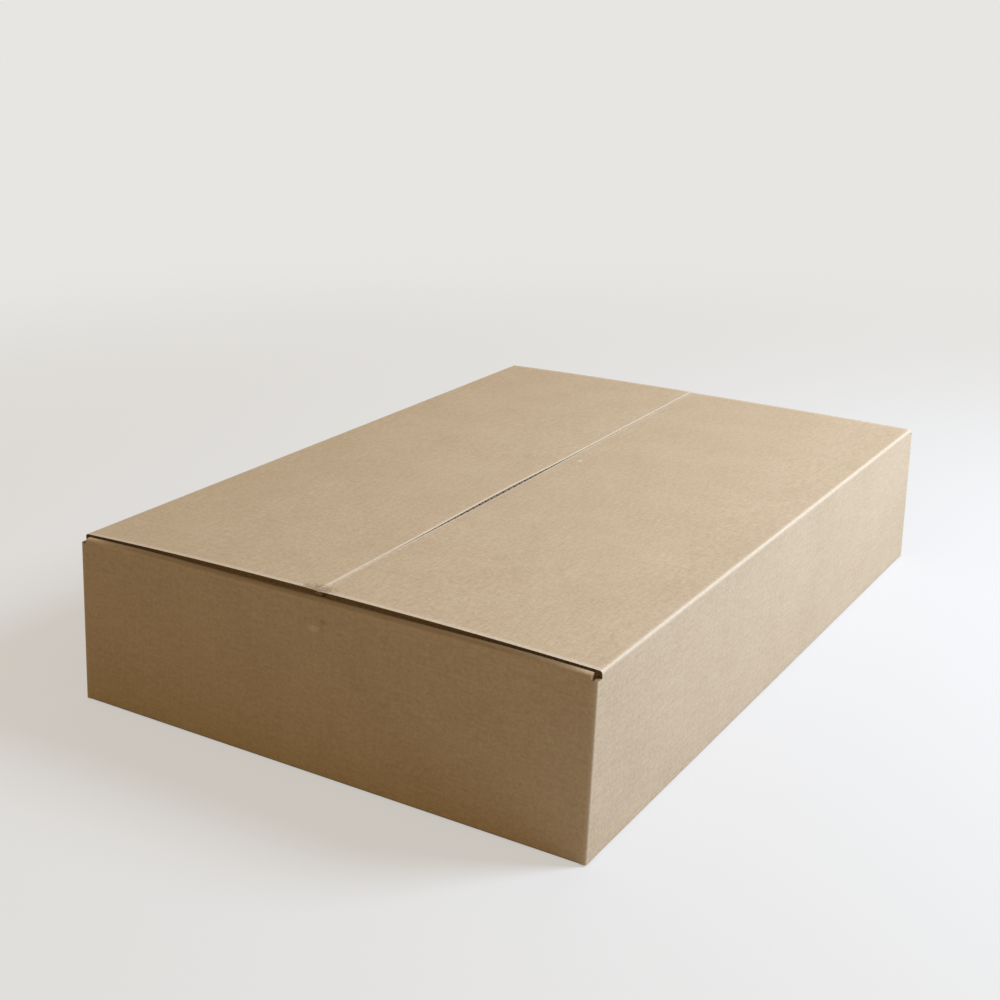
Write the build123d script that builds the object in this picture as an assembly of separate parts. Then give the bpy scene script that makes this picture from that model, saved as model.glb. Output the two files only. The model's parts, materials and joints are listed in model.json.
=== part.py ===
from build123d import *
import os
from math import asin, degrees

# A low shipping carton, folded from one slotted sheet of corrugated board and closed.
# The origin is the centre of the footprint on the floor, +Z is up and the length runs along Y.
# The front end is at -Y, and the two closing flaps are folded from the long sides at -X and +X.
# All lengths are in millimetres.

# The space inside the closed carton
INSIDE_LENGTH = 450.0
INSIDE_WIDTH = 300.0
INSIDE_HEIGHT = 80.0

# How far the tops of the end walls lean in, and how far their folds stand out past the inner flaps
END_LEAN = 5.0
END_FOLD_STEP = 2.7

# The board, and the open flute along an edge that is cut beside the flutes
BOARD = 3.0
LINER = 0.45
FLUTE_MOUTH_DEPTH = 2.5

# Folds: the round outside of each fold, and the room between a closing flap and its wall at the fold
FOLD_RADIUS = 1.6
FOLD_CLEARANCE = 0.15

# Slots between neighbouring flaps: how far a side flap clears the end walls' folds, how far an end flap
# clears the side walls, and how far the slot is cut past the end flap's fold
SIDE_FLAP_CLEARANCE = 0.85
END_FLAP_CLEARANCE = 1.5
SLOT_OVERCUT = 0.5

# How the closing flaps lie: the air under them, the seam between them, and the spring of each free edge
LAYER_GAP = 0.3
SEAM_GAP = 1.6
LEFT_FLAP_LIFT = 4.6
RIGHT_FLAP_LIFT = 3.7

# The glue tab at the rear left corner
TAB_WIDTH = 35.0
TAB_BEVEL = 6.0
TAB_CLEARANCE = 1.0

# How far a cut runs past what it cuts
OVERRUN = 1.0

# Outer faces of the side walls, and of the end walls on the floor
SIDE = INSIDE_WIDTH / 2 + BOARD
END = INSIDE_LENGTH / 2 + BOARD

# Levels: two layers of board close the bottom, and two close the top
FLOOR_LEVEL = 2 * BOARD
CEILING_LEVEL = FLOOR_LEVEL + INSIDE_HEIGHT
END_FLAP_TOP = CEILING_LEVEL + BOARD
HEIGHT = END_FLAP_TOP + LAYER_GAP + BOARD
END_FOOT = BOARD - END_FOLD_STEP
END_RIDGE = END_FLAP_TOP + END_FOLD_STEP


def end_face(level):
    """Distance of an end wall's outer face from the middle at a level. The end walls lean in."""
    return END - END_LEAN * level / END_FLAP_TOP


# The flaps that the slots leave
SIDE_FLAP_HALF_LENGTH = end_face(END_RIDGE) - BOARD - SIDE_FLAP_CLEARANCE
END_FLAP_HALF_WIDTH = SIDE - BOARD - END_FLAP_CLEARANCE
FLAP_DEPTH = SIDE - SEAM_GAP / 2


def side_section():
    """Section of the right side wall, with a flap turned in at its foot and at its top."""
    edge = SIDE - FLAP_DEPTH
    ceiling = HEIGHT - BOARD
    sheet = make_face(
        Polyline(
            (edge, 0),
            (SIDE, 0),
            (SIDE, HEIGHT),
            (edge, HEIGHT),
            (edge, ceiling),
            (SIDE - BOARD, ceiling),
            (SIDE - BOARD, BOARD),
            (edge, BOARD),
            close=True,
        )
    )
    return fillet(sheet.vertices().group_by(Axis.X)[-1], FOLD_RADIUS)


def end_section():
    """Section of the rear end wall. Its folds stand out past the inner flaps, which are pressed in."""
    edge = END - FLAP_DEPTH
    sheet = make_face(
        Polyline(
            (edge, BOARD),
            (end_face(BOARD) - BOARD, BOARD),
            (end_face(END_FOOT) - BOARD, END_FOOT),
            (end_face(END_FOOT), END_FOOT),
            (end_face(END_RIDGE), END_RIDGE),
            (end_face(END_RIDGE) - BOARD, END_RIDGE),
            (end_face(END_FLAP_TOP) - BOARD, END_FLAP_TOP),
            (edge, END_FLAP_TOP),
            (edge, CEILING_LEVEL),
            (end_face(CEILING_LEVEL) - BOARD, CEILING_LEVEL),
            (end_face(FLOOR_LEVEL) - BOARD, FLOOR_LEVEL),
            (edge, FLOOR_LEVEL),
            close=True,
        )
    )
    lower_fold = sheet.vertices().sort_by_distance((end_face(END_FOOT), END_FOOT))[0]
    upper_fold = sheet.vertices().sort_by_distance((end_face(END_RIDGE), END_RIDGE))[0]
    return fillet([lower_fold, upper_fold], FOLD_RADIUS)


def flap_region(clearance):
    """Section of the space above the slanting line on which a closing flap leaves its side wall."""
    inner = SIDE - BOARD - OVERRUN
    under = HEIGHT - BOARD - OVERRUN + clearance
    over = HEIGHT + OVERRUN + clearance
    return make_face(Polyline((SIDE + OVERRUN, over), (inner, under), (0, under), (0, over), close=True))


def right_side():
    """Right side wall, and the bottom flap that is turned in from its foot."""
    section = side_section() - flap_region(0)
    return extrude(Plane.XZ * section, SIDE_FLAP_HALF_LENGTH, both=True)


def rear_end():
    """Rear end wall, and the inner flaps that are turned in from its foot and its top."""
    return extrude(Plane.YZ * end_section(), END_FLAP_HALF_WIDTH, both=True)


def leaning_post(plan, foot, top):
    """Solid between two levels, of a plan drawn on the floor that follows the rear wall's lean."""
    rise = Vector(0, end_face(top) - end_face(foot), top - foot)
    return Solid.extrude(Pos(0, end_face(foot) - END, foot) * plan, rise)


def wall_end(inner, back, foot, top):
    """End of the right side wall between two levels, up to a set way behind the rear wall's face."""
    plate = make_face(
        Polyline(
            (inner, foot),
            (end_face(foot) - back, foot),
            (end_face(top) - back, top),
            (inner, top),
            close=True,
        )
    )
    return extrude(Plane.YZ.offset(SIDE - BOARD) * plate, BOARD)


def upright_fold():
    """Rear right corner: the upright fold that joins a side wall to an end wall between their slots."""
    corner = make_face(
        Polyline(
            (SIDE - BOARD, END),
            (SIDE, END),
            (SIDE, END - BOARD),
            (END_FLAP_HALF_WIDTH, END - BOARD),
            (END_FLAP_HALF_WIDTH, END),
            close=True,
        )
    )
    outer = corner.vertices().sort_by_distance((SIDE, END))[0]
    foot = END_FOOT + SLOT_OVERCUT
    top = END_FLAP_TOP - SLOT_OVERCUT
    turned = leaning_post(fillet(outer, FOLD_RADIUS).face(), foot, top)
    return turned + wall_end(SIDE_FLAP_HALF_LENGTH, FOLD_RADIUS, foot, top)


def glued_lap():
    """Rear left corner: the tab turned in from the left wall, and the rear wall's edge glued over it."""
    foot = FLOOR_LEVEL + TAB_CLEARANCE
    top = CEILING_LEVEL - TAB_CLEARANCE
    inner_side = -SIDE + BOARD
    inner_end = END - BOARD
    turn = make_face(
        Polyline(
            (-SIDE, inner_end),
            (inner_side, inner_end),
            (inner_side, inner_end - BOARD),
            (-SIDE, inner_end - BOARD),
            close=True,
        )
    )
    outer = turn.vertices().sort_by_distance((-SIDE, inner_end))[0]
    wall_edge = make_face(
        Polyline(
            (inner_side, inner_end),
            (inner_side, END),
            (-END_FLAP_HALF_WIDTH, END),
            (-END_FLAP_HALF_WIDTH, inner_end),
            close=True,
        )
    )
    tab_end = -SIDE + TAB_WIDTH
    tab_foot = foot + TAB_BEVEL
    tab_top = top - TAB_BEVEL
    tab = make_face(
        Polyline(
            (inner_side, end_face(foot) - BOARD, foot),
            (inner_side, end_face(top) - BOARD, top),
            (tab_end, end_face(tab_top) - BOARD, tab_top),
            (tab_end, end_face(tab_foot) - BOARD, tab_foot),
            close=True,
        )
    )
    turned = leaning_post(fillet(outer, FOLD_RADIUS).face(), foot, top)
    lapped = leaning_post(wall_edge.face(), foot, top)
    side = mirror(wall_end(SIDE_FLAP_HALF_LENGTH - TAB_WIDTH, BOARD + FOLD_RADIUS, foot, top), Plane.YZ)
    return turned + side + lapped + Solid.extrude(tab.face(), Vector(0, -BOARD, 0))


def carton_body():
    """All of the sheet that stays still: the walls, the bottom flaps, the inner top flaps and the lap."""
    right = right_side()
    rear = rear_end()
    rear_right = upright_fold()
    front_right = mirror(rear_right, Plane.XZ)
    front_left = mirror(front_right, Plane.YZ)
    walls = right + mirror(right, Plane.YZ) + rear + mirror(rear, Plane.XZ)
    return walls + rear_right + front_right + front_left + glued_lap()


def flute_mouths():
    """Open flutes along both cut ends of a closing flap, between its liners and as far as the fold."""
    under = HEIGHT - BOARD + LINER
    over = HEIGHT - LINER
    inner = SIDE - BOARD
    mouth = Plane.XZ * make_face(Polyline((0, under), (inner, under), (inner, over), (0, over), close=True))
    closed_part = extrude(mouth, SIDE_FLAP_HALF_LENGTH - FLUTE_MOUTH_DEPTH, both=True)
    return extrude(mouth, SIDE_FLAP_HALF_LENGTH + OVERRUN, both=True) - closed_part


def closing_flap(lift):
    """Right closing flap, sprung up by lift at its free edge."""
    section = side_section() & flap_region(FOLD_CLEARANCE)
    flap = extrude(Plane.XZ * section, SIDE_FLAP_HALF_LENGTH, both=True) - flute_mouths()
    fold = Axis((SIDE, 0, HEIGHT), (0, 1, 0))
    return flap.rotate(fold, degrees(asin(lift / FLAP_DEPTH)))


nodes = {
    "carton_body": carton_body(),
    "right_flap": closing_flap(RIGHT_FLAP_LIFT),
    "left_flap": mirror(closing_flap(LEFT_FLAP_LIFT), Plane.YZ),
}
os.makedirs("parts", exist_ok=True)
for name, solid in nodes.items():
    export_step(solid, f"parts/{name}.step")
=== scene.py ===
"""A low shipping carton, folded from one sheet of corrugated board and closed by two flaps on its top."""
import json
import logging
import math
from collections.abc import Callable, Iterable, Sequence
from dataclasses import dataclass, field
from enum import Enum
from typing import Any

import bmesh
import bpy
from mathutils import Matrix, Vector

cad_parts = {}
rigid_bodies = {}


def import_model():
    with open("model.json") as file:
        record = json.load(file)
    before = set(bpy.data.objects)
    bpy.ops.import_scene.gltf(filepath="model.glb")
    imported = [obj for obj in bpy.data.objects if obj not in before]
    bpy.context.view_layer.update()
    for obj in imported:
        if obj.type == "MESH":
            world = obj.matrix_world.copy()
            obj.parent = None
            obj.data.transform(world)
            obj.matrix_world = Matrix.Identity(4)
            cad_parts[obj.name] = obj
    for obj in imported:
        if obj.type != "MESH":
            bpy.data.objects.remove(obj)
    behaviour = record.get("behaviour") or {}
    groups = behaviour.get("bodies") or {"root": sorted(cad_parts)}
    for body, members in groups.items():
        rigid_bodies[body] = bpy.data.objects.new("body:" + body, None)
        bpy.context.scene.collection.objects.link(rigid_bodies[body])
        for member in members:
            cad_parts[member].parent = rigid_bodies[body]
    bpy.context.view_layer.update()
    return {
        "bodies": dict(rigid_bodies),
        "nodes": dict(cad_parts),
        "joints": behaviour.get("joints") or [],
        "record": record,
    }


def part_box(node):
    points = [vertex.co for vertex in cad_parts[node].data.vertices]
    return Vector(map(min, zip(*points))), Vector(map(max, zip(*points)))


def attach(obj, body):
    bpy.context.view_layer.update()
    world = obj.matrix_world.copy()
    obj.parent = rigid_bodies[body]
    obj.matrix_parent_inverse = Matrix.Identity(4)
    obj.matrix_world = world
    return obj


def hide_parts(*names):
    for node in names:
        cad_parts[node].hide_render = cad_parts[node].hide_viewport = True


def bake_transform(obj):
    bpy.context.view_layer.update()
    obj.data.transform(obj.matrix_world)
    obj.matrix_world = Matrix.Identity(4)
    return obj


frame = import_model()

Vert = bmesh.types.BMVert
Edge = bmesh.types.BMEdge
Face = bmesh.types.BMFace
Material = bpy.types.Material
Colour = tuple[float, float, float, float]

LOG = logging.getLogger("carton")
MM = 0.001
TINY = 0.01 * MM
NEAR = 1.0 * MM
QUARTER_TURN = math.pi / 2
SHARP_ANGLE = math.radians(38.0)
# A face looks along an axis above FACING of its normal, and is upright below UPRIGHT of its normal's Z.
FACING = 0.9
UPRIGHT = 0.1
INNER_FLAP_LEVEL = 89.0 * MM
X_AXIS = Vector((1.0, 0.0, 0.0))
Y_AXIS = Vector((0.0, 1.0, 0.0))
Z_AXIS = Vector((0.0, 0.0, 1.0))


class Side(Enum):
    """The long sides of the carton, by the sign of X."""

    LEFT = -1
    RIGHT = 1

    @property
    def label(self) -> str:
        """Plain name of the side."""
        return self.name.lower()


class End(Enum):
    """The short ends of the carton, by the sign of Y."""

    FRONT = -1
    REAR = 1


class FluteCount(Enum):
    """The axis along which the flutes of a panel follow one another."""

    ALONG_LENGTH = "Y"
    ALONG_WIDTH = "X"


class Slot(Enum):
    """Order of the finishes on every piece of board."""

    SIDE_LINER = 0
    END_LINER = 1
    CUT_EDGE = 2


@dataclass(frozen=True)
class Board:
    """The corrugated board: two liners with a wavy medium between them."""

    thickness: float = 2.9 * MM
    liner: float = 0.45 * MM
    medium: float = 0.22 * MM
    flute_pitch: float = 6.4 * MM
    flute_steps: int = 8
    mouth_depth: float = 1.8 * MM
    edge_set_back: float = 0.15 * MM
    seam_set_back: float = 1.2 * MM

    @property
    def wave(self) -> float:
        """Height of the medium's wave on either side of the board's middle."""
        return self.thickness / 2 - self.liner - self.medium / 2


@dataclass(frozen=True)
class EndFold:
    """A fold between an end wall and an inner flap, pressed in past the flap's level."""

    reach: float
    radius: float
    flap_level: float
    up: int

    @property
    def start(self) -> float:
        """Level at which the wall turns into the fold."""
        return self.reach - self.up * self.radius


@dataclass(frozen=True)
class CartonPlan:
    """Where the folded sheet stands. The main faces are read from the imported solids."""

    side: float
    end: float
    height: float
    flap_end: float
    board: Board = Board()
    end_lean: float = 5.0 * MM
    lean_level: float = INNER_FLAP_LEVEL
    front_fold: EndFold = EndFold(reach=92.6 * MM, radius=3.0 * MM, flap_level=INNER_FLAP_LEVEL, up=1)
    rear_fold: EndFold = EndFold(reach=91.4 * MM, radius=2.4 * MM, flap_level=INNER_FLAP_LEVEL, up=1)
    foot_fold: EndFold = EndFold(reach=0.3 * MM, radius=1.5 * MM, flap_level=3.05 * MM, up=-1)
    pinch: float = 0.9 * MM
    ridge_fall: float = 1.2 * MM
    ridge_fall_reach: float = 55.0 * MM
    end_flap_half_width: float = 149.6 * MM
    end_flap_edge: float = 75.8 * MM
    seam: float = 0.08 * MM
    seam_slant: float = -5.2 * MM
    post_foot: float = 0.8 * MM
    post_top: float = 88.7 * MM
    wall_foot: float = 6.1 * MM
    wall_top: float = 85.8 * MM
    fold: float = 1.5 * MM
    dip: float = math.radians(70.0)
    lap_edge: float = 150.0 * MM
    tab_face: float = 224.9 * MM
    tab_reach: float = 118.0 * MM
    tab_bevel: float = 6.0 * MM

    @classmethod
    def from_frame(cls, packed: dict[str, Any]) -> "CartonPlan":
        """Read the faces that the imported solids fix.


        Returns:
            The plan that every piece is built on.
        """
        body_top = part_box("carton_body")[1]
        flap_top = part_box("right_flap")[1]
        hinge = packed["joints"][0]["pos_m"]
        return cls(side=body_top.x, end=body_top.y, height=hinge[2], flap_end=flap_top.y)

    @property
    def lean_angle(self) -> float:
        """Angle by which the end walls lean in."""
        return math.atan2(self.end_lean, self.lean_level)

    @property
    def inner_side(self) -> float:
        """Distance of the side walls' inner faces from the middle."""
        return self.side - self.board.thickness

    def top_fold(self, end: End) -> EndFold:
        """The fold at the top of an end wall."""
        return self.front_fold if end is End.FRONT else self.rear_fold

    def seam_at(self, y: float) -> float:
        """Place of the seam across the top, which runs a little askew."""
        return self.seam_slant * (y + self.flap_end) / (2 * self.flap_end)

    def lean_at(self, level: float) -> float:
        """How far the end walls lean in at a level."""
        return self.end_lean * level / self.lean_level

    def end_at(self, level: float) -> float:
        """Distance of the end walls' outer faces from the middle at a level."""
        return self.end - self.lean_at(level)


def place_mesh(name: str, mesh: bmesh.types.BMesh, finishes: Iterable[Material]) -> bpy.types.Object:
    """Put a finished mesh in the scene.

    Args:
        name: Name of the object.
        mesh: The mesh, which is used up.
        finishes: Its materials.

    Returns:
        The new object, at the origin.
    """
    data = bpy.data.meshes.new(name)
    mesh.to_mesh(data)
    mesh.free()
    for finish in finishes:
        data.materials.append(finish)
    piece = bpy.data.objects.new(name, data)
    bpy.context.scene.collection.objects.link(piece)
    return piece


@dataclass
class Sheet:
    """A sheet of board in the making: a line, the outer face that grows from it, and then its thickness."""

    mesh: bmesh.types.BMesh = field(default_factory=bmesh.new)

    def pen_down(self, point: Vector) -> Vert:
        """Start a line at a point."""
        return bmesh.ops.create_vert(self.mesh, co=point)["vert"][0]

    def run(self, tip: Vert, end: Vector, steps: int = 1) -> Vert:
        """Draw the line straight on.

        Args:
            tip: Where the line ends so far.
            end: Where it goes.
            steps: Number of equal edges on the way.

        Returns:
            The new end of the line.
        """
        stride = (end - tip.co) / steps
        for _ in range(steps):
            start = tip.co.copy()
            tip = bmesh.ops.extrude_vert_indiv(self.mesh, verts=[tip])["verts"][0]
            bmesh.ops.translate(self.mesh, verts=[tip], vec=start + stride - tip.co)
        return tip

    def turn(self, tip: Vert, centre: Vector, axis: Vector, angle: float, steps: int) -> Vert:
        """Draw the line on round an arc.

        Args:
            tip: Where the line ends so far.
            centre: Centre of the arc.
            axis: Axis of the turn.
            angle: Angle of the turn.
            steps: Number of edges on the arc.

        Returns:
            The new end of the line.
        """
        made = bmesh.ops.spin(self.mesh, geom=[tip], cent=centre, axis=axis, angle=angle, steps=steps)
        return made["geom_last"][0]

    def edges(self, keep: Callable[[Vector], bool]) -> list[Edge]:
        """Edges whose two ends both pass a test."""
        return [edge for edge in self.mesh.edges if all(keep(vert.co) for vert in edge.verts)]

    def grow(self, edges: Sequence[Edge], move: Vector, steps: int = 1) -> list[Edge]:
        """Carry edges straight on into rows of faces.

        Args:
            edges: Border edges to carry on.
            move: The whole way that they go.
            steps: Number of rows.

        Returns:
            The edges at the far side of the last row.
        """
        far = list(edges)
        for _ in range(steps):
            made = bmesh.ops.extrude_edge_only(self.mesh, edges=far)["geom"]
            verts = [item for item in made if isinstance(item, Vert)]
            far = [item for item in made if isinstance(item, Edge)]
            bmesh.ops.translate(self.mesh, verts=verts, vec=move / steps)
        return far

    def fold(
        self, edges: Sequence[Edge], centre: Vector, axis: Vector, angle: float, steps: int
    ) -> list[Edge]:
        """Carry edges round a fold.

        Args:
            edges: Border edges to carry on.
            centre: A point on the axis of the fold.
            axis: Direction of that axis.
            angle: Angle of the fold.
            steps: Number of rows on the fold.

        Returns:
            The edges at the far side of the fold.
        """
        geom = list(edges) + list({vert for edge in edges for vert in edge.verts})
        made = bmesh.ops.spin(self.mesh, geom=geom, cent=centre, axis=axis, angle=angle, steps=steps)
        return [item for item in made["geom_last"] if isinstance(item, Edge)]

    def face_out(self, outward: Callable[[Face], float]) -> None:
        """Turn the whole outer face outwards.

        Args:
            outward: Gives a positive number for a face that points out, summed over the sheet.
        """
        bmesh.ops.remove_doubles(self.mesh, verts=self.mesh.verts[:], dist=TINY)
        bmesh.ops.recalc_face_normals(self.mesh, faces=self.mesh.faces[:])
        self.mesh.normal_update()
        if sum(outward(face) for face in self.mesh.faces) < 0:
            bmesh.ops.reverse_faces(self.mesh, faces=self.mesh.faces[:])
        self.mesh.normal_update()

    def thicken(self, thickness: float, settle: Callable[[Vector], Vector] | None = None) -> list[Face]:
        """Give the sheet its thickness on the inside.

        Args:
            thickness: Thickness of the board.
            settle: Moves a point of the inner face into the crushed inside of a fold.

        Returns:
            The faces of the cut edges.
        """
        outer = set(self.mesh.verts)
        bmesh.ops.solidify(self.mesh, geom=self.mesh.faces[:], thickness=thickness)
        inner = [vert for vert in self.mesh.verts if vert not in outer]
        if settle:
            for vert in inner:
                vert.co = settle(vert.co)
            bmesh.ops.remove_doubles(self.mesh, verts=inner, dist=TINY)
        self.mesh.normal_update()
        shared = {face: sum(vert in outer for vert in face.verts) for face in self.mesh.faces}
        return [face for face, count in shared.items() if 0 < count < len(face.verts)]

    def open_flutes(self, rims: Iterable[Face], board: Board) -> None:
        """Sink the middle of cut edges between the two liners.

        Args:
            rims: Faces of the cut edges.
            board: The board, with its liners and the depth of its open flutes.
        """
        bmesh.ops.inset_region(
            self.mesh,
            faces=list(rims),
            thickness=board.liner,
            depth=-board.mouth_depth,
            use_boundary=True,
            use_even_offset=True,
        )

    def take(self, other: "Sheet") -> None:
        """Add another sheet's mesh to this one.

        Args:
            other: The sheet that is used up.
        """
        loose = bpy.data.meshes.new("loose")
        other.mesh.to_mesh(loose)
        other.mesh.free()
        self.mesh.from_mesh(loose)
        bpy.data.meshes.remove(loose)

    def finish(self, name: str, finishes: Sequence[Material]) -> bpy.types.Object:
        """Make the object of the sheet, smooth over its folds and sharp at its cut edges.

        Args:
            name: Name of the piece.
            finishes: Materials in the order of Slot.

        Returns:
            The new object, in the scene.
        """
        self.mesh.normal_update()
        for face in self.mesh.faces:
            face.smooth = True
        for edge in self.mesh.edges:
            edge.smooth = len(edge.link_faces) == 2 and edge.calc_face_angle(math.pi) < SHARP_ANGLE
        return place_mesh(name, self.mesh, finishes)


@dataclass
class FluteRibbon:
    """The wavy medium that shows between the liners where a cut crosses the flutes."""

    board: Board
    start: Vector
    length: float
    along: Vector
    inward: Vector
    shift: Callable[[float], Vector] = lambda way: Vector()

    def build(self) -> Sheet:
        """Make the ribbon as a sheet of its own.

        Returns:
            The ribbon, with its thickness.
        """
        sheet = Sheet()
        steps = round(self.length / self.board.flute_pitch * self.board.flute_steps)
        sheet.run(sheet.pen_down(self.start), self.start + self.along * self.length, steps)
        for vert in sheet.mesh.verts:
            way = (vert.co - self.start).dot(self.along)
            wave = self.board.wave * math.sin(math.tau * way / self.board.flute_pitch)
            vert.co += self.shift(way) + Z_AXIS * wave
        sheet.grow(sheet.mesh.edges[:], self.inward * self.board.mouth_depth)
        sheet.face_out(lambda face: face.normal.z)
        sheet.thicken(self.board.medium)
        for face in sheet.mesh.faces:
            face.material_index = Slot.CUT_EDGE.value
        return sheet


@dataclass
class CartonBody:
    """The part of the sheet that stays still: walls, bottom flaps, inner top flaps and the glued lap."""

    plan: CartonPlan
    side_steps: int = 44
    end_steps: int = 30
    wall_rows: int = 10
    fold_steps: int = 6
    pinch_steps: int = 4
    flap_rows: int = 10
    tab_steps: int = 4
    body: str = "carton"

    def build(self, finishes: Sequence[Material]) -> bpy.types.Object:
        """Fold the body and give it its place.

        Args:
            finishes: Materials in the order of Slot.

        Returns:
            The piece that stands for the carton's body.
        """
        sheet = Sheet()
        self.draw_plan(sheet)
        self.raise_walls(sheet)
        self.turn_bottom_flaps(sheet)
        self.lean_ends(sheet)
        self.turn_end_flaps(sheet)
        sheet.face_out(self.outward)
        rims = sheet.thicken(self.plan.board.thickness, self.crush_inside)
        self.dress(sheet, rims)
        sheet.open_flutes([rim for rim in rims if self.shows_flutes(rim)], self.plan.board)
        for ribbon in self.flute_ribbons():
            sheet.take(ribbon.build())
        piece = sheet.finish("carton_sheet", finishes)
        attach(piece, self.body)
        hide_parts("carton_body")
        return piece

    def outward(self, face: Face) -> float:
        """How far a wall's face points away from the middle of the carton.

        Args:
            face: A face of the sheet.

        Returns:
            A positive number where a wall's face points out, and 0 on the flaps.
        """
        if abs(face.normal.z) >= UPRIGHT:
            return 0.0
        return face.normal.dot(face.calc_center_median() * (X_AXIS + Y_AXIS))

    def draw_plan(self, sheet: Sheet) -> None:
        """Draw the sheet's line in plan, from the glue tab round to the rear wall's cut edge.

        Args:
            sheet: An empty sheet.
        """
        plan = self.plan
        level = plan.wall_foot
        side, end, fold, tip_y = plan.side, plan.end, plan.fold, plan.flap_end
        flap_x = plan.end_flap_half_width

        def at(x: float, y: float) -> Vector:
            """Point of the plan."""
            return Vector((x, y, level))

        tip = sheet.pen_down(at(-plan.tab_reach, plan.tab_face))
        tip = sheet.run(tip, at(-side, plan.tab_face), self.tab_steps)
        tip = sheet.run(tip, at(-side, tip_y))
        tip = sheet.run(tip, at(-side, -tip_y), self.side_steps)
        corners = (
            (at(-side, fold - end), at(fold - side, fold - end), at(-flap_x, -end), at(flap_x, -end)),
            (at(side - fold, -end), at(side - fold, fold - end), at(side, -tip_y), at(side, tip_y)),
            (at(side, end - fold), at(side - fold, end - fold), at(flap_x, end), at(-flap_x, end)),
        )
        steps = (self.end_steps, self.side_steps, self.end_steps)
        for (turn_start, centre, flat_start, flat_end), flat_steps in zip(corners, steps):
            tip = sheet.run(tip, turn_start)
            tip = sheet.turn(tip, centre, Z_AXIS, QUARTER_TURN, self.fold_steps)
            tip = sheet.run(tip, flat_start)
            tip = sheet.run(tip, flat_end, flat_steps)
        sheet.run(tip, at(-plan.lap_edge, end))

    def raise_walls(self, sheet: Sheet) -> None:
        """Raise the walls from the plan, and carry the end walls and the corner posts further up and down.

        Args:
            sheet: The sheet, as a line in plan.
        """
        plan = self.plan
        sheet.grow(sheet.mesh.edges[:], Z_AXIS * (plan.wall_top - plan.wall_foot), self.wall_rows)
        for level, reach in ((plan.wall_top, plan.post_top), (plan.wall_foot, plan.foot_fold.start)):
            ends = sheet.edges(lambda co: self.in_end(co) and abs(co.z - level) < TINY)
            sheet.grow(ends, Z_AXIS * (reach - level))
        for end in End:
            ridge_wall = sheet.edges(
                lambda co: self.in_end_wall(co)
                and end.value * co.y > 0
                and abs(co.z - plan.post_top) < TINY
            )
            sheet.grow(ridge_wall, Z_AXIS * (plan.top_fold(end).start - plan.post_top))
        post_feet = sheet.edges(lambda co: self.in_post(co) and abs(co.z - plan.foot_fold.start) < TINY)
        sheet.grow(post_feet, Z_AXIS * (plan.post_foot - plan.foot_fold.start))

    def in_end(self, co: Vector) -> bool:
        """Whether a point of the upright plan is in an end wall or in a corner post."""
        plan = self.plan
        return abs(co.y) > plan.flap_end - TINY and abs(co.y - plan.tab_face) > TINY

    def in_post(self, co: Vector) -> bool:
        """Whether a point of the upright plan is in a corner post between two slots."""
        return abs(co.x) > self.plan.end_flap_half_width - TINY and self.in_end(co)

    def in_end_wall(self, co: Vector) -> bool:
        """Whether a point of the upright plan is in an end wall, between its corner posts."""
        return abs(co.x) < self.plan.end_flap_half_width + TINY and self.in_end(co)

    def turn_bottom_flaps(self, sheet: Sheet) -> None:
        """Turn the outer bottom flaps in from the feet of the side walls.

        Args:
            sheet: The sheet, with its walls upright.
        """
        plan = self.plan
        for side in Side:
            wall_x = side.value * plan.side
            foot = sheet.edges(
                lambda co: abs(co.x - wall_x) < TINY
                and abs(co.y) < plan.flap_end + TINY
                and abs(co.z - plan.wall_foot) < TINY
            )
            foot = sheet.grow(foot, Z_AXIS * (plan.fold - plan.wall_foot))
            centre = Vector((wall_x - side.value * plan.fold, 0.0, plan.fold))
            foot = sheet.fold(foot, centre, Y_AXIS, side.value * QUARTER_TURN, self.fold_steps)
            reach = plan.side - plan.fold - plan.seam
            sheet.grow(foot, X_AXIS * (-side.value * reach), self.flap_rows)

    def lean_ends(self, sheet: Sheet) -> None:
        """Lean the end walls, their corner posts and the glue tab in, and bevel the tab.

        Args:
            sheet: The sheet, with its bottom flaps turned in.
        """
        plan = self.plan
        middle = (plan.wall_foot + plan.wall_top) / 2
        for vert in sheet.mesh.verts:
            co = vert.co
            if abs(co.y - plan.tab_face) < TINY:
                share = (co.x + plan.side) / (plan.side - plan.tab_reach)
                shrink = 1 - share * plan.tab_bevel / (plan.wall_top - middle)
                co.z = middle + (co.z - middle) * shrink
            if abs(co.y) > plan.flap_end + TINY:
                co.y -= math.copysign(plan.lean_at(co.z), co.y)

    def turn_end_flaps(self, sheet: Sheet) -> None:
        """Turn the inner flaps in from the end walls, over a round fold and down a short slope.

        Args:
            sheet: The sheet, with its end walls leaning.
        """
        for end in End:
            for fold in (self.plan.top_fold(end), self.plan.foot_fold):
                self.turn_end_flap(sheet, end, fold)
        self.lower_ridge_ends(sheet)

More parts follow.
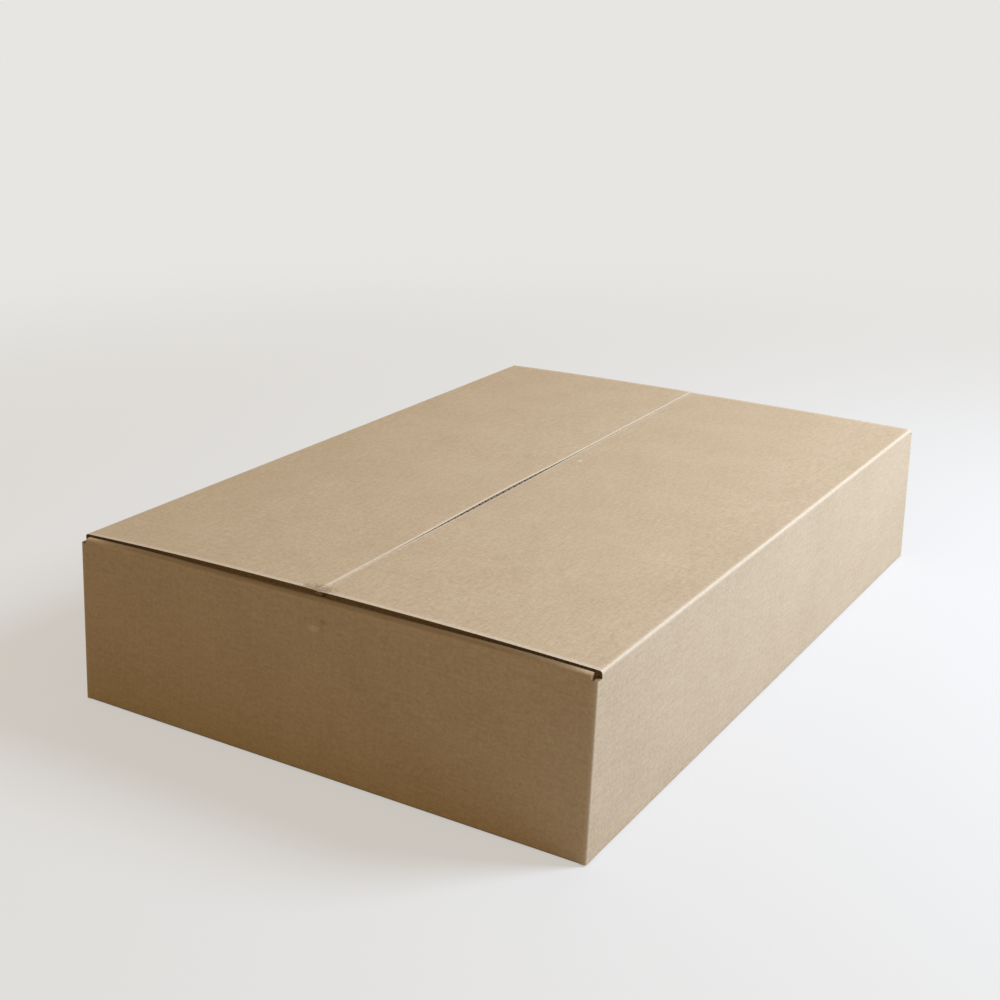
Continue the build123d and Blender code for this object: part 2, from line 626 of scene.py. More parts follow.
    def turn_end_flap(self, sheet: Sheet, end: End, fold: EndFold) -> None:
        """Turn one inner flap in.

        Args:
            sheet: The sheet, with its end walls leaning.
            end: The end wall that it is turned in from.
            fold: The fold at its foot or its top.
        """
        plan = self.plan
        sign = end.value
        lean = plan.lean_angle
        face_y = sign * plan.end_at(fold.start)
        border = sheet.edges(
            lambda co: abs(co.y - face_y) < TINY
            and abs(co.z - fold.start) < TINY
            and abs(co.x) < plan.end_flap_half_width + TINY
        )
        inward = Vector((0.0, -sign * math.cos(lean), -math.sin(lean)))
        centre = Vector((0.0, face_y, fold.start)) + inward * fold.radius
        quarter = fold.up * QUARTER_TURN - lean
        border = sheet.fold(border, centre, X_AXIS, sign * quarter, self.fold_steps)
        pinch_centre = border[0].verts[0].co - Z_AXIS * (fold.up * plan.pinch)
        border = sheet.fold(border, pinch_centre, X_AXIS, sign * fold.up * plan.dip, self.pinch_steps)
        drop = fold.flap_level - border[0].verts[0].co.z
        slope = Vector((0.0, -sign * abs(drop) / math.tan(plan.dip), drop))
        border = sheet.grow(border, slope)
        slope_y = border[0].verts[0].co.y
        sheet.grow(border, Y_AXIS * (sign * plan.end_flap_edge - slope_y), self.flap_rows)

    def lower_ridge_ends(self, sheet: Sheet) -> None:
        """Press the ridges of the end walls down towards their corners, where the closing flaps lie lower.

        Args:
            sheet: The sheet, with its inner flaps turned in.
        """
        plan = self.plan
        for vert in sheet.mesh.verts:
            height = (vert.co.z - plan.post_top) / (plan.front_fold.reach - plan.post_top)
            from_corner = (plan.end_flap_half_width - abs(vert.co.x)) / plan.ridge_fall_reach
            vert.co.z -= plan.ridge_fall * max(0.0, height) * max(0.0, 1 - from_corner) ** 2

    def crush_inside(self, co: Vector) -> Vector:
        """Hold a point of the inner face inside the corner of its folds, where the board is crushed.

        Args:
            co: The point, one thickness behind the outer face.

        Returns:
            The point's place in the crushed board.
        """
        plan = self.plan
        thickness = plan.board.thickness
        x, y, z = co
        if abs(y) > plan.flap_end + TINY and abs(x) < plan.end_flap_half_width + TINY:
            z = min(max(z, plan.foot_fold.flap_level + thickness), plan.front_fold.flap_level - thickness)
        elif abs(y) < plan.flap_end + TINY and abs(x) > plan.inner_side - thickness:
            z = max(z, thickness)
        x = math.copysign(min(abs(x), plan.inner_side), x)
        y = math.copysign(min(abs(y), plan.end_at(z) - thickness), y)
        return Vector((x, y, z))

    def dress(self, sheet: Sheet, rims: Iterable[Face]) -> None:
        """Give each face the finish of its panel, and the cut edges their own.

        Args:
            sheet: The sheet, with its thickness.
            rims: Faces of the cut edges.
        """
        for face in sheet.mesh.faces:
            middle = face.calc_center_median()
            on_end = abs(middle.x) < self.plan.lap_edge and middle.z > self.plan.foot_fold.flap_level - TINY
            face.material_index = Slot.END_LINER.value if on_end else Slot.SIDE_LINER.value
        for rim in rims:
            rim.material_index = Slot.CUT_EDGE.value

    def shows_flutes(self, rim: Face) -> bool:
        """Whether a cut edge shows open flutes: the flaps' edges and the lap's edge do.

        Args:
            rim: A face of a cut edge.

        Returns:
            True where the inside of the board shows.
        """
        plan = self.plan
        middle = rim.calc_center_median()
        free_edge = abs(rim.normal.y) > FACING and abs(abs(middle.y) - plan.end_flap_edge) < NEAR
        seam_edge = abs(rim.normal.x) > FACING and abs(abs(middle.x) - plan.seam) < NEAR
        lap = rim.normal.x < -FACING and middle.y > plan.flap_end and abs(middle.x + plan.lap_edge) < TINY
        return free_edge or seam_edge or lap

    def flute_ribbons(self) -> list[FluteRibbon]:
        """The medium at the free edges of the four inner flaps.

        Returns:
            One ribbon for each of them.
        """
        plan = self.plan
        half = plan.end_flap_half_width - plan.board.liner
        folds = (plan.front_fold, plan.foot_fold)
        middles = [fold.flap_level - fold.up * plan.board.thickness / 2 for fold in folds]
        return [
            FluteRibbon(
                board=plan.board,
                start=Vector((-half, end.value * (plan.end_flap_edge + plan.board.edge_set_back), level)),
                length=2 * half,
                along=X_AXIS,
                inward=Y_AXIS * end.value,
            )
            for end in End
            for level in middles
        ]


@dataclass(frozen=True)
class FlapSpring:
    """How a closing flap arches up to its free edge, and how that edge is worn and its corner dented."""

    front: float
    middle: float
    rear: float
    bulge: float
    droop: float
    worn: float
    bulge_at: float = -50.0 * MM
    bulge_reach: float = 60.0 * MM
    droop_reach: float = 11.0 * MM
    worn_reach: float = 1.6 * MM
    worn_start: float = 6.0 * MM
    arch: float = 2.4

    def along(self, y: float, half_length: float) -> float:
        """Lift of the free edge at a place along the flap.

        Args:
            y: Place along the carton.
            half_length: Half the flap's length.

        Returns:
            The lift of the top face above the fold.
        """
        share = (y + half_length) / (2 * half_length)
        back = 1 - share
        ends = self.front * back * (1 - 2 * share) + self.rear * share * (2 * share - 1)
        bulge = self.bulge * math.exp(-(((y - self.bulge_at) / self.bulge_reach) ** 2))
        return ends + self.middle * 4 * share * back + bulge

    def across(self, share: float) -> float:
        """Share of the lift at a share of the way from the fold to the free edge."""
        return 1 - (1 - share) ** self.arch


LEFT_SPRING = FlapSpring(
    front=2.55 * MM, middle=2.2 * MM, rear=1.55 * MM, bulge=0.8 * MM, droop=0.35 * MM, worn=0.3 * MM
)
RIGHT_SPRING = FlapSpring(
    front=2.35 * MM, middle=1.8 * MM, rear=1.15 * MM, bulge=-0.6 * MM, droop=0.3 * MM, worn=0.0
)


@dataclass
class ClosingFlap:
    """A closing flap with the top of its side wall, in one piece over the fold that it swings on."""

    plan: CartonPlan
    side: Side
    spring: FlapSpring
    wall_rows: int = 4
    fold_steps: int = 10
    root_rows: int = 4
    flap_rows: int = 36
    length_steps: int = 88
    edge_rows: int = 5
    root: float = 3.5 * MM
    bend: float = 2.3 * MM

    def build(self, finishes: Sequence[Material]) -> bpy.types.Object:
        """Fold the flap.

        Args:
            finishes: Materials in the order of Slot.

        Returns:
            The piece that stands for the closing flap.
        """
        sheet = Sheet()
        self.draw_section(sheet)
        sheet.grow(sheet.mesh.edges[:], Y_AXIS * (2 * self.plan.flap_end), self.length_steps)
        self.spring_up(sheet)
        sheet.face_out(lambda face: face.normal.z)
        rims = sheet.thicken(self.plan.board.thickness, self.crush_inside)
        self.dress(rims)
        self.wear_edge(sheet)
        self.open_edges(sheet, rims)
        sheet.take(self.flute_ribbon().build())
        piece = sheet.finish(f"{self.side.label}_closing_flap", finishes)
        corner = Vector((self.side.value * self.plan.side, 0.0, self.plan.height))
        across = Vector((-self.side.value, 0.0, 1.0)).normalized()
        corner - across * self.bend
        corner + across * self.bend
        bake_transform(piece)
        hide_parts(f"{self.side.label}_flap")
        return piece

    def dress(self, rims: Iterable[Face]) -> None:
        """Give the cut edges their finish. The liner's finish is the first, so the rest has it."""
        for rim in rims:
            rim.material_index = Slot.CUT_EDGE.value

    def draw_section(self, sheet: Sheet) -> None:
        """Draw the section at the front end: up the wall, over the fold and across to the seam.

        Args:
            sheet: An empty sheet.
        """
        plan = self.plan
        sign = self.side.value

        def at(x: float, z: float) -> Vector:
            """Point of the section, x from the middle of the carton."""
            return Vector((sign * x, -plan.flap_end, z))

        tip = sheet.pen_down(at(plan.side, plan.wall_top))
        tip = sheet.run(tip, at(plan.side, plan.height - plan.fold), self.wall_rows)
        centre = at(plan.side - plan.fold, plan.height - plan.fold)
        tip = sheet.turn(tip, centre, Y_AXIS, -sign * QUARTER_TURN, self.fold_steps)
        tip = sheet.run(tip, at(plan.side - plan.fold - self.root, plan.height), self.root_rows)
        tip = sheet.run(tip, at(plan.seam + self.spring.worn_reach, plan.height), self.flap_rows)
        sheet.run(tip, at(plan.seam, plan.height), self.edge_rows)

    def share_at(self, x: float) -> float:
        """Share of the way from the fold to the middle of the carton, before the free edge is set askew."""
        return max(0.0, 1 - abs(x) / (self.plan.side - self.plan.fold))

    def lift_at(self, share: float, y: float) -> float:
        """How far the flap's top face stands above the fold at a place.

        Args:
            share: Share of the way from the fold to the free edge.
            y: Place along the carton.

        Returns:
            The lift.
        """
        plan, spring = self.plan, self.spring
        from_edge = (1 - share) * (plan.side - plan.fold)
        near_corner = math.hypot(from_edge, y + plan.flap_end) / spring.droop_reach
        lift = spring.along(y, plan.flap_end) * spring.across(share)
        return lift - spring.droop * max(0.0, 1 - near_corner) ** 2

    def spring_up(self, sheet: Sheet) -> None:
        """Lift the flap towards its free edge, and set that edge askew.

        Args:
            sheet: The sheet, flat from its fold on.
        """
        for vert in sheet.mesh.verts:
            x, y, z = vert.co
            if z > self.plan.height - TINY:
                share = self.share_at(x)
                vert.co += Vector((self.plan.seam_at(y) * share, 0.0, self.lift_at(share, y)))

    def wear_edge(self, sheet: Sheet) -> None:
        """Round the top liner down along the free edge, from a little way behind its front corner.

        Args:
            sheet: The sheet, with its thickness.
        """
        plan, spring = self.plan, self.spring
        for vert in sheet.mesh.verts:
            x, y, z = vert.co
            from_edge = (abs(x - plan.seam_at(y)) - plan.seam) / spring.worn_reach
            if from_edge < 1 and z > plan.height + self.lift_at(1.0, y) - plan.board.thickness / 2:
                worn = spring.worn * min(1.0, (y + plan.flap_end) / spring.worn_start)
                vert.co.z -= worn * (1 - from_edge) ** 2

    def crush_inside(self, co: Vector) -> Vector:
        """Hold a point of the inner face inside the corner of the fold, where the board is crushed.

        Args:
            co: The point, one thickness behind the outer face.

        Returns:
            The point's place in the crushed board.
        """
        plan = self.plan
        x = math.copysign(min(abs(co.x), plan.inner_side), co.x)
        at_fold = abs(co.x) > plan.inner_side - self.root
        z = min(co.z, plan.height - plan.board.thickness) if at_fold else co.z
        return Vector((x, co.y, z))

    def open_edges(self, sheet: Sheet, rims: Iterable[Face]) -> None:
        """Open the flutes along both ends of the flap and along its free edge.

        Args:
            sheet: The sheet, with its thickness.
            rims: Faces of the cut edges.
        """
        plan = self.plan
        ends: dict[bool, list[Face]] = {False: [], True: []}
        free_edge = []
        for rim in rims:
            middle = rim.calc_center_median()
            if abs(rim.normal.y) > FACING:
                ends[middle.y > 0].append(rim)
            elif abs(middle.x - plan.seam_at(middle.y)) < NEAR:
                free_edge.append(rim)
        for faces in (ends[False], ends[True], free_edge):
            sheet.open_flutes(faces, plan.board)

    def flute_ribbon(self) -> FluteRibbon:
        """The medium at the free edge.

        Returns:
            A ribbon that follows the flap's lift and its slanting edge.
        """
        plan = self.plan
        sign = self.side.value
        edge = plan.seam + plan.board.seam_set_back
        half = plan.flap_end - plan.board.liner
        level = plan.height - plan.board.thickness / 2
        share = self.share_at(edge)
        return FluteRibbon(
            board=plan.board,
            start=Vector((sign * edge, -half, level)),
            length=2 * half,
            along=Y_AXIS,
            inward=X_AXIS * sign,
            shift=lambda way: Vector((plan.seam_at(way - half), 0.0, self.lift_at(share, way - half))),
        )


class Socket:
    """A value in a material's nodes. Arithmetic on it adds Math nodes."""

    def __init__(self, nodes: "NodeDesk", socket: bpy.types.NodeSocket) -> None:
        """Wrap an output socket of a node on a desk."""
        self.nodes = nodes
        self.socket = socket

    def out(self, key: str) -> "Socket":
        """Another output of the same node."""
        return Socket(self.nodes, self.nodes.find(self.socket.node.outputs, key))

    def math(self, operation: str, *others: "Socket | float") -> "Socket":
        """Add a Math node that starts from this value."""
        sockets = {index: value for index, value in enumerate((self, *others))}
        return self.nodes.add("ShaderNodeMath", {"operation": operation}, sockets)

    def __add__(self, other: "Socket | float") -> "Socket":
        """Sum."""
        return self.math("ADD", other)

    __radd__ = __add__

    def __sub__(self, other: "Socket | float") -> "Socket":
        """Difference."""
        return self.math("SUBTRACT", other)

    def __rsub__(self, other: float) -> "Socket":
        """Difference from a number."""
        return self.nodes.add("ShaderNodeMath", {"operation": "SUBTRACT"}, {0: other, 1: self})

    def __mul__(self, other: "Socket | float") -> "Socket":
        """Product."""
        return self.math("MULTIPLY", other)

    __rmul__ = __mul__

    def __truediv__(self, other: "Socket | float") -> "Socket":
        """Quotient."""
        return self.math("DIVIDE", other)

    def __pow__(self, other: float) -> "Socket":
        """Power."""
        return self.math("POWER", other)

    def __abs__(self) -> "Socket":
        """Size without sign."""
        return self.math("ABSOLUTE")

    def wave(self) -> "Socket":
        """Sine."""
        return self.math("SINE")

    def least(self, other: "Socket | float") -> "Socket":
        """The smaller of two values."""
        return self.math("MINIMUM", other)

    def most(self, other: "Socket | float") -> "Socket":
        """The larger of two values."""
        return self.math("MAXIMUM", other)

    def clamped(self) -> "Socket":
        """The value held between 0 and 1."""
        return self.most(0.0).least(1.0)

    def rise(self, low: float, high: float) -> "Socket":
        """The value as a smooth share of the way from low to high."""
        limits = {"Value": self, "From Min": low, "From Max": high}
        return self.nodes.add("ShaderNodeMapRange", {"interpolation_type": "SMOOTHSTEP"}, limits)


@dataclass(frozen=True)
class Grain:
    """A noise pattern of about 1 / scale metres."""

    scale: float
    detail: float = 2.0
    roughness: float = 0.5
    middle: float = 0.5


@dataclass(frozen=True)
class Touch:
    """How a paper surface feels: its relief, and how it scatters light."""

    relief: float
    depth: float
    roughness: float
    patches: float
    gloss: float


class NodeDesk:
    """The nodes of one material, or of the surround."""

    def __init__(self, owner: Material | bpy.types.World) -> None:
        """Clear the nodes of their owner."""
        owner.use_nodes = True
        self.owner = owner
        self.tree = owner.node_tree
        self.tree.nodes.clear()

    @staticmethod
    def find(sockets: Any, key: str | int) -> bpy.types.NodeSocket:
        """Find a socket by its place, its identifier or its name.

        Args:
            sockets: Inputs or outputs of a node.
            key: Place, identifier or name.

        Returns:
            The socket.
        """
        if isinstance(key, int):
            return sockets[key]
        exact = [socket for socket in sockets if socket.identifier == key]
        return exact[0] if exact else next(s for s in sockets if s.name == key and s.enabled)

    def add(
        self, kind: str, settings: dict[str, Any] | None = None, sockets: dict[str | int, Any] | None = None
    ) -> Socket:
        """Add a node.

        Args:
            kind: Type of the node.
            settings: Properties that are set first.
            sockets: Numbers, colours or links for its inputs, by place, identifier or name.

        Returns:
            Its first enabled output, if it has one.
        """
        node = self.tree.nodes.new(kind)
        for key, value in (settings or {}).items():
            setattr(node, key, value)
        for key, value in (sockets or {}).items():
            target = self.find(node.inputs, key)
            if isinstance(value, Socket):
                self.tree.links.new(value.socket, target)
            else:
                target.default_value = value
        return Socket(self, next((socket for socket in node.outputs if socket.enabled), None))

    def mix(self, share: Socket | float, first: Any, second: Any) -> Socket:
        """Mix two colours."""
        return self.add(
            "ShaderNodeMix",
            {"data_type": "RGBA"},
            {"Factor_Float": share, "A_Color": first, "B_Color": second},
        )

    def noise(self, place: Socket, grain: Grain) -> Socket:
        """Noise around 0."""
        sockets = {"Vector": place, "Scale": grain.scale, "Detail": grain.detail}
        sockets["Roughness"] = grain.roughness
        return self.add("ShaderNodeTexNoise", {"noise_dimensions": "3D"}, sockets) - grain.middle

    def stretched(self, place: Socket, stretch: Vector) -> Socket:
        """Coordinates stretched along the axes."""
        return self.add("ShaderNodeVectorMath", {"operation": "MULTIPLY"}, {0: place, 1: stretch})

    def paper(self, colour: Socket, height: Socket, patches: Socket, touch: Touch) -> Socket:
        """Shade a paper surface.

        Args:
            colour: Its colour.
            height: Its relief, without a scale.
            patches: Noise that makes it rougher and smoother in patches.
            touch: How strong these are.

        Returns:
            The shader.
        """
        bump = {"Strength": touch.relief, "Distance": touch.depth, "Height": height}
        face = {
            "Base Color": colour,
            "Roughness": touch.roughness + patches * touch.patches,
            "Specular IOR Level": touch.gloss,
            "Normal": self.add("ShaderNodeBump", None, bump),
        }
        return self.add("ShaderNodeBsdfPrincipled", None, face)

    def surface(self, shader: Socket) -> Material | bpy.types.World:
        """Link a shader to the output, and give the owner of the nodes back.

        Args:
            shader: What covers the surface.

        Returns:
            The owner of the nodes.
        """
        kind = "Material" if isinstance(self.owner, Material) else "World"
        self.add(f"ShaderNodeOutput{kind}", None, {"Surface": shader})
        return self.owner


@dataclass(frozen=True)
class Mark:
    """A mark on the board's face as a soft blot: a scuff, a speck or a spot, or painted shade at a dent."""

    centre: Vector
    half_size: Vector
    colour: Colour
    strength: float


# Painted shade of a shallow dent in the left closing flap, near the seam.
PAINTED_DENT_SHADE = Mark(
    centre=Vector((-0.0203, 0.0205, 0.0935)),
    half_size=Vector((0.0095, 0.0075, 0.02)),
    colour=(0.33, 0.24, 0.15, 1.0),
    strength=0.22,
)
# Painted shade where the closing flaps' front corners dip at the seam.
PAINTED_CORNER_SHADE = Mark(
    centre=Vector((-0.0015, -0.2175, 0.0950)),
    half_size=Vector((0.0100, 0.0060, 0.02)),
    colour=(0.28, 0.17, 0.09, 1.0),
    strength=0.8,
)
PALE_SPECK = Mark(
    centre=Vector((0.0059, 0.0320, 0.0930)),
    half_size=Vector((0.0014, 0.0024, 0.02)),
    colour=(0.80, 0.72, 0.60, 1.0),
    strength=0.6,
)
END_SCUFF = Mark(
    centre=Vector((0.0002, -0.2238, 0.0768)),
    half_size=Vector((0.0040, 0.01, 0.0022)),
    colour=(0.72, 0.60, 0.46, 1.0),
    strength=0.6,
)
END_SPOT = Mark(
    centre=Vector((0.0064, -0.2238, 0.0806)),
    half_size=Vector((0.0030, 0.01, 0.0022)),
    colour=(0.30, 0.20, 0.11, 1.0),
    strength=0.4,
)
# Side marks: painted shade at a dent and at the dipping front corners, and a pale speck.
SIDE_MARKS = (PAINTED_DENT_SHADE, PAINTED_CORNER_SHADE, PALE_SPECK)
END_MARKS = (END_SCUFF, END_SPOT)


@dataclass(frozen=True)
class KraftFinish:
    """The outer liner: plain kraft paper, matt, with cloudy tone, fibres, flecks, wear and painted
    highlight on folds and edges, and painted shade in the end walls' top creases.
    """

    name: str
    plan: CartonPlan
    flutes: FluteCount
    marks: tuple[Mark, ...] = ()
    pale: Colour = (0.600, 0.440, 0.276, 1.0)
    deep: Colour = (0.480, 0.332, 0.196, 1.0)
    fleck: Colour = (0.300, 0.190, 0.100, 1.0)
    # Pale colour of worn folds and edges, also used as painted highlight along them.
    pale_wear_and_highlight: Colour = (0.720, 0.580, 0.420, 1.0)
    # Painted shade along the top creases of the end walls, where the closing flaps' edges shade the ridge.
    painted_crease_shade: Colour = (0.180, 0.105, 0.042, 1.0)
    cloud: Grain = Grain(30.0, 3.0, 0.55)
    mottle: Grain = Grain(620.0, 2.0, 0.6)
    fibre: Grain = Grain(900.0)
    flecks: Grain = Grain(330.0, 1.0)
    fibre_stretch: float = 0.12
    middle_tone: float = 0.5
    cloud_tone: float = 0.6
    mottle_tone: float = 1.9
    fibre_tone: float = 1.0
    flute_tone: float = 0.03
    fleck_limits: tuple[float, float] = (0.20, 0.28)
    fleck_strength: float = 0.15
    # Reach and strength of the wear and painted highlight on the folds and along the closing flaps' edges.
    wear_and_highlight_reach: float = 2.6 * MM
    edge_reach: float = 3.4 * MM
    seam_narrowing: float = 2.0
    fold_wear_and_highlight: float = 0.6
    edge_wear_and_highlight: float = 0.55
    even_wear_and_highlight: float = 0.85
    patchy_wear_and_highlight: float = 0.6
    # Strength and reach of the painted shade along the end walls' top creases.
    painted_shade_strength: float = 0.9
    painted_shade_start: float = 2.4 * MM
    painted_shade_full: float = 0.3 * MM
    painted_shade_end: float = 149.0 * MM
    painted_shade_fade: float = 135.0 * MM
    blot_limits: tuple[float, float] = (1.2, -0.2)
    blot_raggedness: float = 3.0
    mottle_height: float = 0.6
    fibre_height: float = 0.5
    flute_height: float = 0.06
    touch: Touch = Touch(relief=0.22, depth=0.35 * MM, roughness=0.60, patches=0.16, gloss=0.5)

    def build(self) -> Material:
        """Make the material.

        Returns:
            The material, on Object coordinates.
        """
        desk = NodeDesk(bpy.data.materials.new(self.name))
        place = desk.add("ShaderNodeTexCoord").out("Object")
        parts = desk.add("ShaderNodeSeparateXYZ", None, {"Vector": place})
        x, y, z = parts.out("X"), parts.out("Y"), parts.out("Z")
        cloud = desk.noise(place, self.cloud)
        mottle = desk.noise(place, self.mottle)
        fibre = desk.noise(desk.stretched(place, self.fibre_lay()), self.fibre)
        flute = (self.flute_place(x, y) * (math.tau / self.plan.board.flute_pitch)).wave()
        tone = self.middle_tone + cloud * self.cloud_tone + mottle * self.mottle_tone
        tone += fibre * self.fibre_tone + flute * self.flute_tone
        colour = desk.mix(tone.clamped(), self.deep, self.pale)
        flecks = desk.noise(place, self.flecks).rise(*self.fleck_limits)
        colour = desk.mix(flecks * self.fleck_strength, colour, self.fleck)
        patches = (self.even_wear_and_highlight + mottle * self.patchy_wear_and_highlight).clamped()
        # Wear and painted highlight along the folds and the closing flaps' edges.
        colour = desk.mix(self.wear_and_highlight(x, y, z) * patches, colour, self.pale_wear_and_highlight)
        # Painted shade along the top crease of the end walls.
        if self.flutes is FluteCount.ALONG_WIDTH:
            colour = desk.mix(self.painted_shade_share(x, z) * self.painted_shade_strength, colour, self.painted_crease_shade)
        # Scuffs, specks and spots, and painted shade at dents.
        for mark in self.marks:
            colour = desk.mix(self.blot(mark, (x, y, z), mottle) * mark.strength, colour, mark.colour)
        height = mottle * self.mottle_height + fibre * self.fibre_height + flute * self.flute_height
        return desk.surface(desk.paper(colour, height, mottle, self.touch))

    def fibre_lay(self) -> Vector:
        """Stretch that lays the paper's fibres across the flutes."""
        across = self.flutes is FluteCount.ALONG_WIDTH
        return Vector((self.fibre_stretch, 1.0, 1.0) if across else (1.0, self.fibre_stretch, 1.0))

    def flute_place(self, x: Socket, y: Socket) -> Socket:
        """The coordinate along which the flutes follow one another."""
        return y if self.flutes is FluteCount.ALONG_LENGTH else x

    def wear_and_highlight(self, x: Socket, y: Socket, z: Socket) -> Socket:
        """Wear and painted highlight on the folds of the side walls and, on the side liner, along the edges
        of the closing flaps.

        Args:
            x: Place across the carton.
            y: Place along the carton.
            z: Level.

        Returns:
            Share of wear and painted highlight, 0 a little way off.
        """
        plan = self.plan
        from_side = plan.side - abs(x)
        from_end = plan.end - abs(y) - z * (plan.end_lean / plan.lean_level)
        from_top = abs(plan.height - z)
        nearest_fold = (from_side + from_end).least(from_side + from_top)
        folds = (1.0 - nearest_fold / self.wear_and_highlight_reach) * self.fold_wear_and_highlight
        if self.flutes is FluteCount.ALONG_WIDTH:
            return folds.clamped()
        from_seam = abs(x - (y + plan.flap_end) * (plan.seam_slant / (2 * plan.flap_end)))
        nearest_edge = abs(plan.flap_end - abs(y)).least(from_seam * self.seam_narrowing)
        near_edge = nearest_edge.rise(self.edge_reach, self.edge_reach / 2)
        on_top = z.rise(plan.post_top, plan.height)
        return folds.most(near_edge * on_top * self.edge_wear_and_highlight).clamped()

    def painted_shade_share(self, x: Socket, z: Socket) -> Socket:
        """Painted shade along the crease at the top of an end wall, where the closing flaps' edges shade
        it, away from its corners.

        Args:
            x: Place across the carton.
            z: Level.

        Returns:
            Share of painted shade.
        """
        top = self.plan.front_fold.reach
        shade = z.rise(top - self.painted_shade_start, top - self.painted_shade_full)
        return shade * abs(x).rise(self.painted_shade_end, self.painted_shade_fade)

    def blot(self, mark: Mark, place: Sequence[Socket], ragged: Socket) -> Socket:
        """Cover of a mark, with a ragged edge.

        Args:
            mark: The mark.
            place: The three coordinates.
            ragged: Noise that frays the edge.

        Returns:
            Share of the mark, 1 in its middle.
        """
        axes = zip(place, mark.centre, mark.half_size)
        away = sum(((axis - middle) / reach) ** 2.0 for axis, middle, reach in axes)
        return (away + ragged * self.blot_raggedness).rise(*self.blot_limits)


@dataclass(frozen=True)
class CutEdgeFinish:
    """The cut edge of the board and the medium inside it: rough and fibrous, in a brown that is partly its
    own and partly painted shade for the slots and open flutes.
    """

    name: str = "cut_board_edge"
    # Tones darkened partly as painted shade, so that the slots and open flutes look shaded.
    pale: Colour = (0.40, 0.27, 0.16, 1.0)
    deep: Colour = (0.24, 0.155, 0.085, 1.0)
    fibre: Grain = Grain(1400.0, 3.0, 0.6)
    fibre_limits: tuple[float, float] = (-0.2, 0.2)
    touch: Touch = Touch(relief=0.4, depth=0.2 * MM, roughness=0.90, patches=0.1, gloss=0.1)

    def build(self) -> Material:
        """Make the material.

        Returns:
            The material, on Object coordinates.
        """
        desk = NodeDesk(bpy.data.materials.new(self.name))
        place = desk.add("ShaderNodeTexCoord").out("Object")
        fibre = desk.noise(place, self.fibre)
        colour = desk.mix(fibre.rise(*self.fibre_limits), self.deep, self.pale)
        return desk.surface(desk.paper(colour, fibre, fibre, self.touch))


@dataclass(frozen=True)
class FloorFinish:
    """A plain pale floor, which keeps the carton's shadow and fades into the backdrop."""

    name: str = "pale_floor"
    colour: Colour = (0.790, 0.735, 0.675, 1.0)
    bounce: Colour = (0.40, 0.38, 0.36, 1.0)
    shown: Colour = (0.80, 0.79, 0.77, 1.0)
    glow: float = 0.62
    fade_start: float = 0.3
    fade_end: float = 1.3

    def build(self) -> Material:
        """Make the material.

        Returns:
            The floor's material: lit for the carton, and evened out towards a pale tone for the camera.
        """
        desk = NodeDesk(bpy.data.materials.new(self.name))
        place = desk.add("ShaderNodeTexCoord").out("Object")
        away = desk.add("ShaderNodeVectorMath", {"operation": "LENGTH"}, {0: place}).out("Value")
        seen = desk.add("ShaderNodeLightPath").out("Is Camera Ray")
        tone = desk.mix(seen, self.bounce, self.colour)
        lit = desk.add("ShaderNodeBsdfDiffuse", None, {"Color": tone})
        even = desk.add("ShaderNodeEmission", None, {"Color": self.shown})
        evenness = self.glow + away.rise(self.fade_start, self.fade_end) * (1 - self.glow)
        return desk.surface(desk.add("ShaderNodeMixShader", None, {0: seen * evenness, 1: lit, 2: even}))


@dataclass(frozen=True)
class Lamp:
    """A round soft lamp that shines at the carton."""

    name: str
    direction: Vector
    distance: float
    size: float
    power: float
    colour: tuple[float, float, float]

    def hang(self) -> None:
        """Hang the lamp in the scene."""
        light = bpy.data.lights.new(self.name, "AREA")
        light.shape = "DISK"
        light.size = self.size
        light.energy = self.power
        light.color = self.colour
        lamp = bpy.data.objects.new(self.name, light)
        direction = self.direction.normalized()
        lamp.location = direction * self.distance
        lamp.rotation_mode = "QUATERNION"
        lamp.rotation_quaternion = direction.to_track_quat("Z", "Y")
        bpy.context.scene.collection.objects.link(lamp)


KEY = Lamp(
    name="key",
    direction=Vector((0.70, 0.34, 0.63)),
    distance=1.4,
    size=0.55,
    power=34.2,
    colour=(0.570, 0.738, 1.0),
)


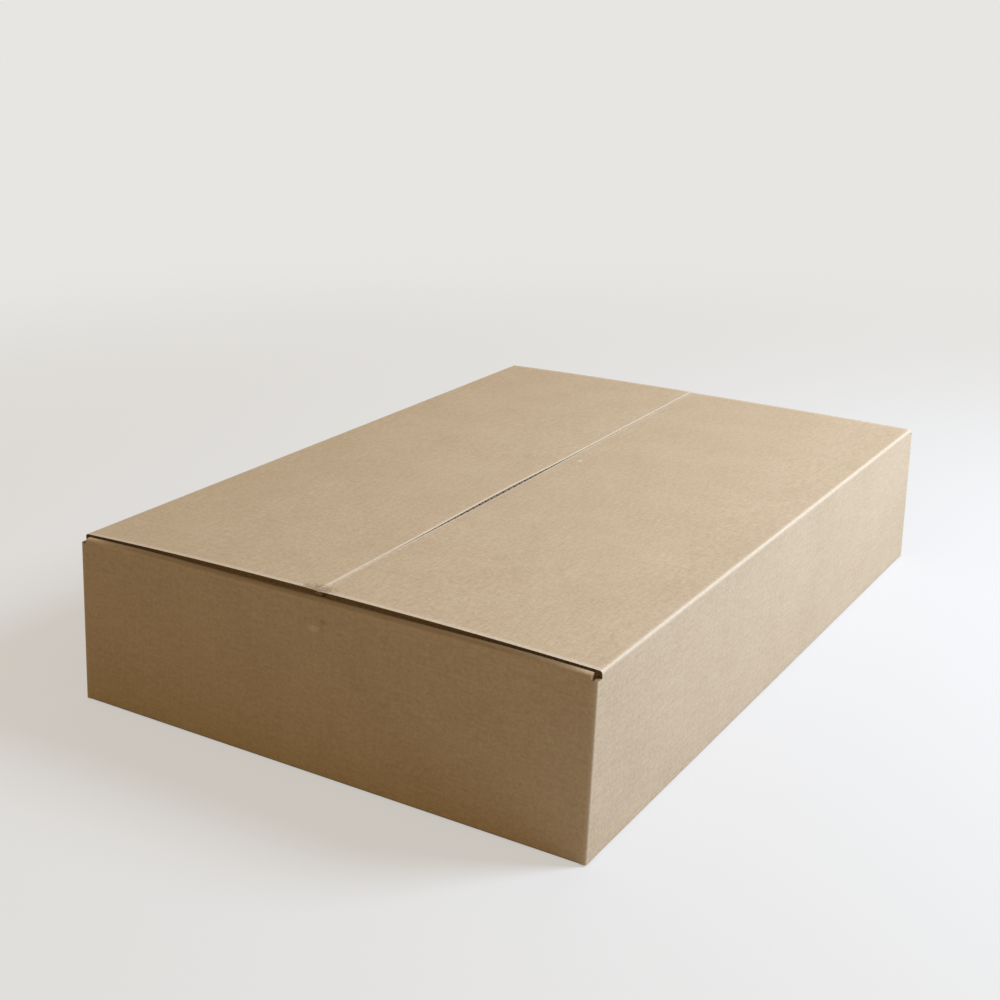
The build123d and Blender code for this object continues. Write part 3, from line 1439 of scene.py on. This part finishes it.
@dataclass
class Studio:
    """Floor, light and camera."""

    lamps: tuple[Lamp, ...] = (KEY,)
    floor_radius: float = 14.0
    floor_segments: int = 96
    surround: Colour = (0.434, 0.339, 0.196, 1.0)
    backdrop: Colour = (0.80, 0.79, 0.77, 1.0)
    azimuth: float = 31.02
    elevation: float = 19.167
    roll: float = 0.858
    place: Vector = field(default_factory=lambda: Vector((0.4203, -0.7508, 0.3755)))
    lens: float = 54.99
    sensor: float = 36.0

    def build(self) -> None:
        """Set the whole stage."""
        self.lay_floor()
        for lamp in self.lamps:
            lamp.hang()
        self.fill_shade()
        self.set_camera()

    def lay_floor(self) -> None:
        """Lay a wide round floor under the carton."""
        mesh = bmesh.new()
        under = Matrix.Translation(Z_AXIS * -TINY)
        bmesh.ops.create_circle(
            mesh, cap_ends=True, segments=self.floor_segments, radius=self.floor_radius, matrix=under
        )
        place_mesh("floor", mesh, [FloorFinish().build()])

    def fill_shade(self) -> None:
        """Fill the shade with a dim surround, and show the camera a pale backdrop."""
        desk = NodeDesk(bpy.data.worlds.new("surround"))
        seen = desk.add("ShaderNodeLightPath").out("Is Camera Ray")
        dim = desk.add("ShaderNodeBackground", None, {"Color": self.surround})
        pale = desk.add("ShaderNodeBackground", None, {"Color": self.backdrop})
        both = desk.add("ShaderNodeMixShader", None, {0: seen, 1: dim, 2: pale})
        bpy.context.scene.world = desk.surface(both)

    def set_camera(self) -> None:
        """Set the camera at the photograph's viewing angle."""
        turn, tilt, roll = (math.radians(angle) for angle in (self.azimuth, self.elevation, self.roll))
        right = Vector((math.cos(turn), math.sin(turn), 0.0))
        back = Vector((math.sin(turn) * math.cos(tilt), -math.cos(turn) * math.cos(tilt), math.sin(tilt)))
        up = back.cross(right)
        rolled_right = right * math.cos(roll) + up * math.sin(roll)
        rolled_up = up * math.cos(roll) - right * math.sin(roll)
        lens = bpy.data.cameras.new("camera")
        lens.lens = self.lens
        lens.sensor_width = self.sensor
        camera = bpy.data.objects.new("camera", lens)
        camera.matrix_world = (
            Matrix.Translation(self.place) @ Matrix((rolled_right, rolled_up, back)).transposed().to_4x4()
        )
        bpy.context.scene.collection.objects.link(camera)
        bpy.context.scene.camera = camera


def main() -> None:
    """Build the carton, piece by piece, and set the stage."""
    logging.basicConfig(level=logging.INFO, format="%(message)s")
    bpy.context.scene.view_settings.view_transform = "Standard"
    plan = CartonPlan.from_frame(frame)
    finishes = (
        KraftFinish("side_liner", plan, FluteCount.ALONG_LENGTH, SIDE_MARKS).build(),
        KraftFinish("end_liner", plan, FluteCount.ALONG_WIDTH, END_MARKS).build(),
        CutEdgeFinish().build(),
    )
    pieces = (
        CartonBody(plan),
        ClosingFlap(plan, Side.LEFT, LEFT_SPRING),
        ClosingFlap(plan, Side.RIGHT, RIGHT_SPRING),
    )
    for piece in pieces:
        made = piece.build(finishes)
        LOG.info("built %s with %d faces", made.name, len(made.data.polygons))
    Studio().build()
    bpy.context.view_layer.update()


if __name__ == "__main__":
    main()
